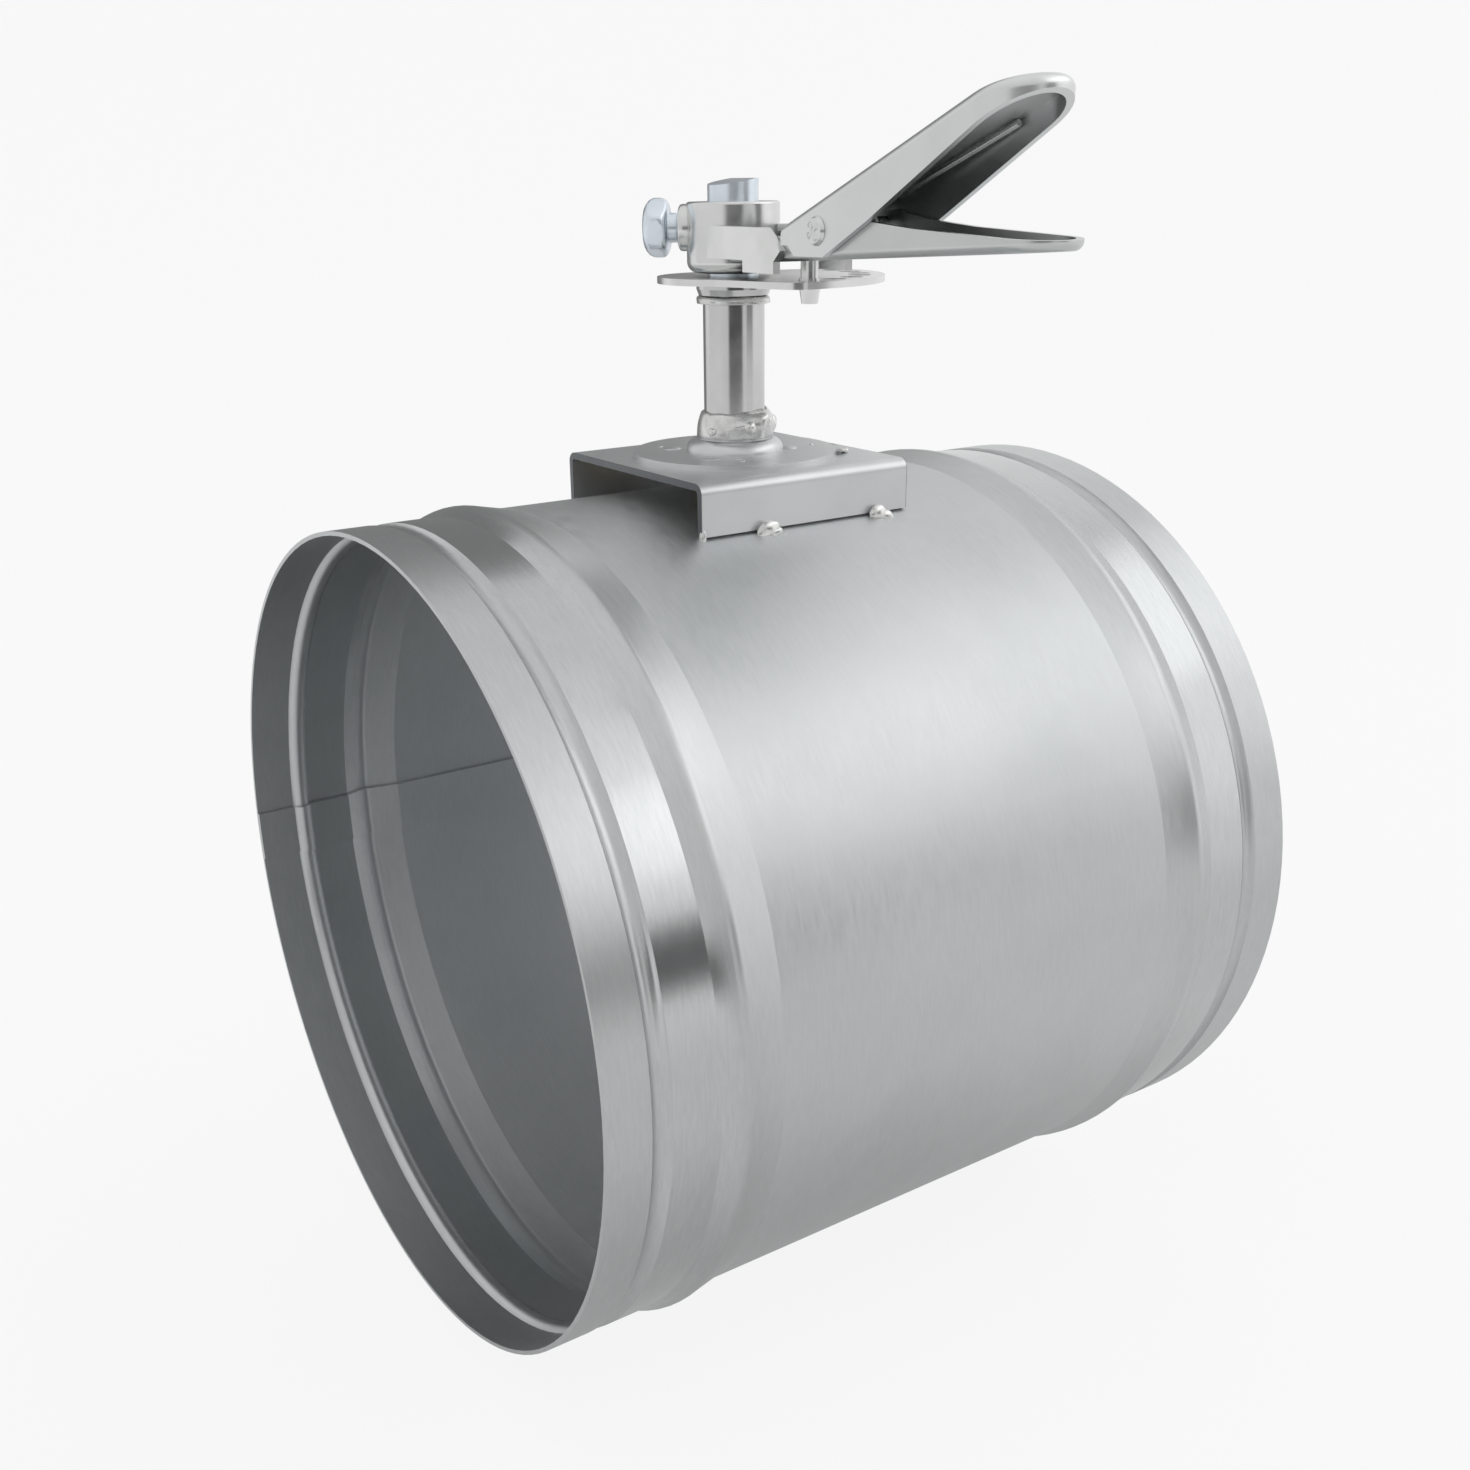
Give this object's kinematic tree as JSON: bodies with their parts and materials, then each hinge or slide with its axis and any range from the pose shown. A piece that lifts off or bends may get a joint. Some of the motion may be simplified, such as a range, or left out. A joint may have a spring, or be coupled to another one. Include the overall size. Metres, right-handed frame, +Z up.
{
  "type": "stove pipe damper",
  "caption": "Round galvanised duct section with a butterfly blade on a vertical spindle, turned by a squeeze handle whose pin locks in an index plate",
  "frame": {"origin": "centre of the inlet rim's circle", "axes": "+X along the duct to the outlet, +Z up the spindle, -Y the way the handle points with the blade closed"},
  "size_m": [0.2, 0.2104, 0.3001],
  "materials": {
    "galvanised_duct": "satin galvanised sheet",
    "galvanised_plate": "satin galvanised plate",
    "weld_metal": "galvanised weld bead",
    "zinc_casting": "satin zinc-plated steel",
    "zinc_stamping": "bright zinc-plated pressing",
    "bush_brass": "plain turned",
    "spring_steel": "drawn wire",
    "bright_zinc": "bluish zinc plate"
  },
  "bodies": {
    "duct_body": {"bracket_tack_1": "weld_metal", "bracket_tack_2": "weld_metal", "bracket_tack_3": "weld_metal", "bracket_tack_4": "weld_metal", "collar_weld": "weld_metal", "duct_shell": "galvanised_duct", "flange_tack": "weld_metal", "flange_washer": "galvanised_plate", "index_plate": "zinc_casting", "lower_bush": "bush_brass", "saddle_bracket": "galvanised_plate", "standoff_tube": "zinc_casting", "tube_collar": "zinc_casting", "tube_foot_weld": "weld_metal", "upper_bush": "bush_brass"},
    "spindle_body": {"shaft": "bright_zinc", "damper_blade": "galvanised_plate", "blade_strap_upper": "galvanised_plate", "blade_strap_lower": "galvanised_plate", "hub": "zinc_casting", "hub_nut": "bright_zinc", "set_bolt": "bright_zinc", "lower_handle": "zinc_stamping", "pivot_rivet": "bright_zinc", "torsion_spring": "spring_steel", "retaining_ring": "bright_zinc", "blade_screw_1": "bright_zinc", "blade_screw_2": "bright_zinc", "blade_screw_3": "bright_zinc", "blade_screw_4": "bright_zinc", "blade_nut_1": "bright_zinc", "blade_nut_2": "bright_zinc", "blade_nut_3": "bright_zinc", "blade_nut_4": "bright_zinc"},
    "lever_body": {"upper_lever": "zinc_stamping"},
    "pin_body": {"locking_pin": "bright_zinc"}
  },
  "joints": [
    {"name": "blade_turn", "type": "hinge", "parent": "duct_body", "child": "spindle_body", "pos_m": [0.1, 0, 0], "axis": [0, 0, 1], "range_deg": [0, 90]},
    {"name": "lever_squeeze", "type": "hinge", "parent": "spindle_body", "child": "lever_body", "pos_m": [0.1, -0.046, 0.1608], "axis": [1, 0, 0], "range_deg": [0, 18], "stiffness_Nm_per_rad": 1.2, "springref_deg": -28.65, "deforming": ["torsion_spring"]},
    {"name": "pin_lift", "type": "slide", "parent": "spindle_body", "child": "pin_body", "axis": [0, 0, 1], "range_m": [0, 0.0064]}
  ],
  "couplings": [
    {"joint": "pin_lift", "follows": "lever_squeeze", "m_per_rad": 0.02}
  ]
}
